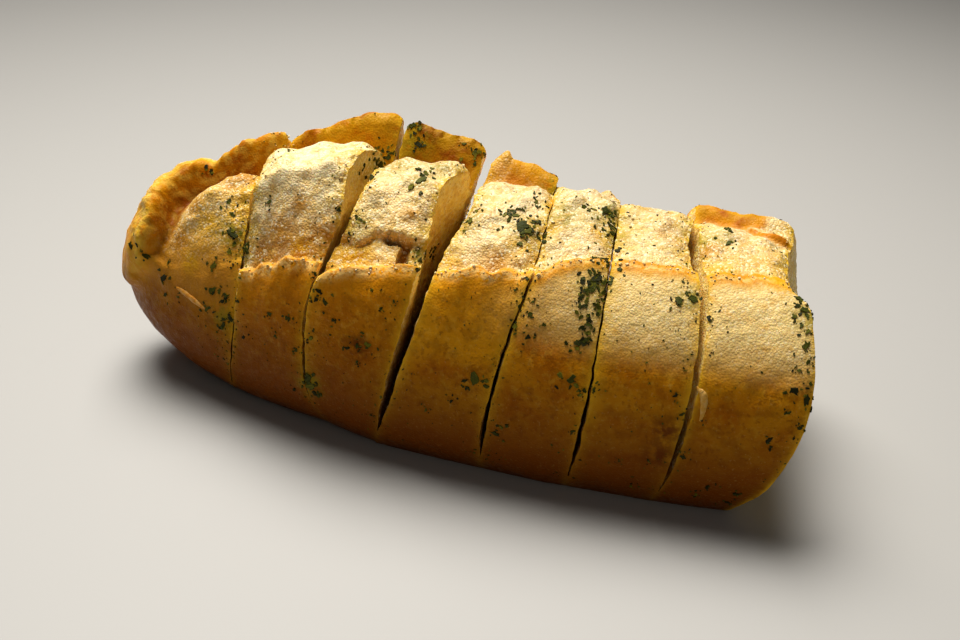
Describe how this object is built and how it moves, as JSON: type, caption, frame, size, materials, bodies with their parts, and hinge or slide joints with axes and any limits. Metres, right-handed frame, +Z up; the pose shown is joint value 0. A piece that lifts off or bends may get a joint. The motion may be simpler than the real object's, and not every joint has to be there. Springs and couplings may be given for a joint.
{
  "type": "garlic bread",
  "caption": "Piece of garlic baguette with a rounded end and a sawn end, cut across into slices that stay joined along the bottom crust, with an opened top score and fused herb flakes.",
  "frame": {"origin": "on the base plane, under the middle of the loaf's bounding box", "axes": "+X along the loaf from its rounded end to its sawn end, +Y to the side of the folded ear, +Z up"},
  "size_m": [0.141, 0.0562, 0.053],
  "materials": {
    "crust": "satin, golden baked crust with melted butter"
  },
  "bodies": {
    "root": {"loaf": "crust"}
  },
  "joints": []
}
